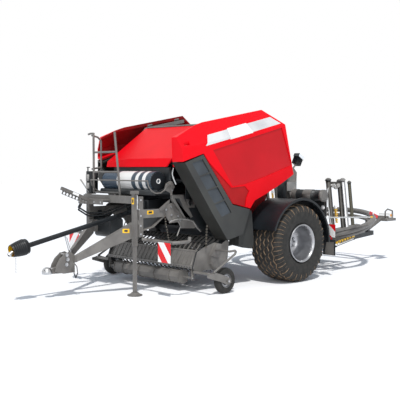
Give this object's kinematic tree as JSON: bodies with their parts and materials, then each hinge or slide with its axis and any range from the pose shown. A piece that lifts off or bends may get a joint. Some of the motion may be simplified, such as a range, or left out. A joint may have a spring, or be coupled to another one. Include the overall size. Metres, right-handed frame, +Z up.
{
  "type": "round baler with film binding and rear bale wrapper",
  "caption": "Trailed round baler with a pick-up, a roller bale chamber under red covers, and a tilted wrapping ring behind the axle, parked on its jack.",
  "frame": {"origin": "on the ground under the middle of the machine, the drive shaft yoke in front and the rear lamps behind equally far away", "axes": "+X to the left side of the machine, -Y forward to the drawbar, +Y to the rear, +Z up"},
  "size_m": [2.9602, 7.9021, 2.7],
  "materials": {
    "board_white": "satin",
    "bright_steel": "satin",
    "dark_plastic": "matte",
    "film": "gloss",
    "grey_paint": "satin",
    "red_paint": "gloss",
    "rubber": "matte",
    "tyre": "matte",
    "wheel_silver": "satin"
  },
  "bodies": {
    "chassis": {"axle_beam": "grey_paint", "board_carrier": "grey_paint", "chamber_rollers": "grey_paint", "chamber_walls": "grey_paint", "control_cabinet": "dark_plastic", "cross_beam": "grey_paint", "drawbar_rails": "grey_paint", "feed_housing": "dark_plastic", "film_roll": "film", "front_beam": "grey_paint", "gearbox": "grey_paint", "hitch_head": "grey_paint", "hose_rack": "grey_paint", "jack_handle": "bright_steel", "jack_sleeve": "grey_paint", "ladder": "grey_paint", "light_bar": "grey_paint", "mud_flaps": "rubber", "mudguards": "dark_plastic", "oil_tank": "grey_paint", "pto_bell": "dark_plastic", "pto_guard": "dark_plastic", "rear_masts": "grey_paint", "ring_track": "grey_paint", "roll_arms": "grey_paint", "roll_cradle": "grey_paint", "roof": "grey_paint", "side_beams": "grey_paint", "skirts": "dark_plastic", "step_plate": "grey_paint", "vent_panels": "dark_plastic", "warning_boards": "board_white", "wrap_beams": "grey_paint", "wrap_tail": "grey_paint"},
    "wheel_left": {"tyre_left": "tyre", "rim_left": "wheel_silver"},
    "wheel_right": {"tyre_right": "tyre", "rim_right": "wheel_silver"},
    "panel_left": {"side_panel_left": "red_paint"},
    "panel_right": {"side_panel_right": "red_paint"},
    "hood": {"front_hood": "red_paint"},
    "rear_gate": {"tailgate": "grey_paint"},
    "pickup": {"pickup_frame": "grey_paint", "pickup_bands": "grey_paint", "crop_guard": "grey_paint", "gauge_arms": "grey_paint"},
    "rotor": {"feed_rotor": "grey_paint"},
    "yoke": {"pto_yoke": "bright_steel"},
    "table": {"wrap_table": "grey_paint", "table_belts": "rubber"},
    "reel": {"tine_reel": "grey_paint"},
    "press_roller": {"crop_roller": "grey_paint"},
    "gauge_left": {"gauge_wheel_left": "tyre"},
    "gauge_right": {"gauge_wheel_right": "tyre"},
    "jack": {"jack_leg": "grey_paint"},
    "drive": {"pto_shaft": "bright_steel"},
    "ring": {"wrap_ring": "grey_paint", "prestretch_left": "grey_paint", "prestretch_right": "grey_paint"}
  },
  "joints": [
    {"name": "wheel_left_spin", "type": "hinge", "parent": "chassis", "child": "wheel_left", "pos_m": [1.18, 0.32, 0.615], "axis": [1, 0, 0], "continuous": true},
    {"name": "wheel_right_spin", "type": "hinge", "parent": "chassis", "child": "wheel_right", "pos_m": [-1.18, 0.32, 0.615], "axis": [1, 0, 0], "continuous": true},
    {"name": "panel_left_open", "type": "hinge", "parent": "chassis", "child": "panel_left", "pos_m": [0.905, -0.93, 2.48], "axis": [0, -0.9797, -0.2007], "range_deg": [0, 60]},
    {"name": "panel_right_open", "type": "hinge", "parent": "chassis", "child": "panel_right", "pos_m": [-0.905, -0.93, 2.48], "axis": [0, 0.9797, 0.2007], "range_deg": [0, 60]},
    {"name": "hood_open", "type": "hinge", "parent": "chassis", "child": "hood", "pos_m": [0, -1.03, 2.444], "axis": [-1, 0, 0], "range_deg": [0, 60]},
    {"name": "rear_gate_open", "type": "hinge", "parent": "chassis", "child": "rear_gate", "pos_m": [0, -0.25, 2.3], "axis": [1, 0, 0], "range_deg": [0, 65]},
    {"name": "pickup_lift", "type": "hinge", "parent": "chassis", "child": "pickup", "pos_m": [0, -0.9, 0.69], "axis": [-1, 0, 0], "range_deg": [0, 18]},
    {"name": "reel_spin", "type": "hinge", "parent": "pickup", "child": "reel", "pos_m": [0, -1.23, 0.4], "axis": [1, 0, 0], "continuous": true},
    {"name": "press_roller_spin", "type": "hinge", "parent": "pickup", "child": "press_roller", "pos_m": [0, -1.568, 0.21], "axis": [1, 0, 0], "continuous": true},
    {"name": "gauge_left_spin", "type": "hinge", "parent": "pickup", "child": "gauge_left", "pos_m": [1.325, -1.265, 0.185], "axis": [1, 0, 0], "continuous": true},
    {"name": "gauge_right_spin", "type": "hinge", "parent": "pickup", "child": "gauge_right", "pos_m": [-1.325, -1.265, 0.185], "axis": [1, 0, 0], "continuous": true},
    {"name": "rotor_spin", "type": "hinge", "parent": "chassis", "child": "rotor", "pos_m": [0, -0.64, 0.86], "axis": [1, 0, 0], "continuous": true},
    {"name": "jack_retract", "type": "slide", "parent": "chassis", "child": "jack", "axis": [0, 0, 1], "range_m": [0, 0.35]},
    {"name": "drive_spin", "type": "hinge", "parent": "chassis", "child": "drive", "pos_m": [0, -3.827, 0.716], "axis": [0, 0.9766, 0.2151], "continuous": true},
    {"name": "yoke_swing", "type": "hinge", "parent": "drive", "child": "yoke", "pos_m": [0, -3.827, 0.716], "axis": [-1, 0, 0], "range_deg": [0, 40]},
    {"name": "table_tip", "type": "hinge", "parent": "chassis", "child": "table", "pos_m": [0, 2.56, 0.5], "axis": [-1, 0, 0], "range_deg": [0, 25]},
    {"name": "ring_spin", "type": "hinge", "parent": "chassis", "child": "ring", "pos_m": [0, 2.18, 0.75], "axis": [0, -0.1599, 0.9871], "continuous": true}
  ]
}
